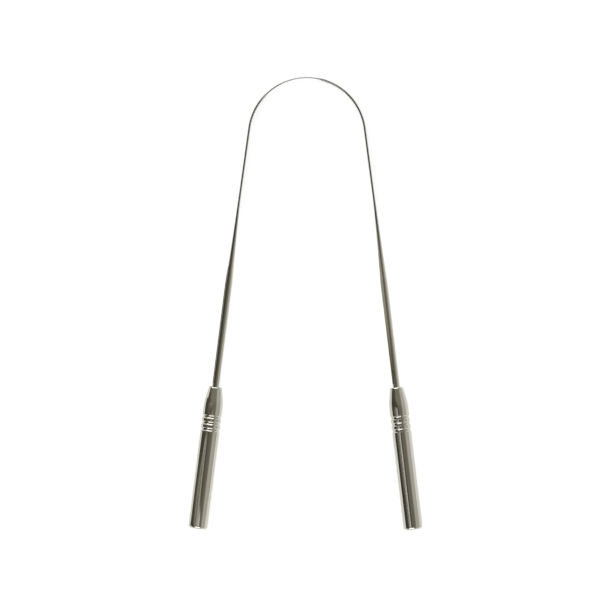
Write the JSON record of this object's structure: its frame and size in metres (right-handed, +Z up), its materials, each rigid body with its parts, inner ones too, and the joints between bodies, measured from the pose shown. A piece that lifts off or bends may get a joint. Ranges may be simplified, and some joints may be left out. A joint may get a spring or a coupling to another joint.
{
  "type": "tongue scraper",
  "caption": "U-shaped steel tongue scraper: a wire bow rolled flat into a thin strip at its loop, with turned bar handles that have tapered necks and grip grooves.",
  "frame": {"origin": "under the middle of the outline, on the surface that the scraper lies on", "axes": "+Y from the handles towards the loop, +X to the right with the loop pointing away, +Z up from the surface"},
  "size_m": [0.0776, 0.1502, 0.0063],
  "materials": {
    "wire_steel": "polished",
    "bar_steel": "polished"
  },
  "bodies": {
    "root": {"scraper_bow": "wire_steel", "left_handle": "bar_steel", "right_handle": "bar_steel"}
  },
  "joints": []
}
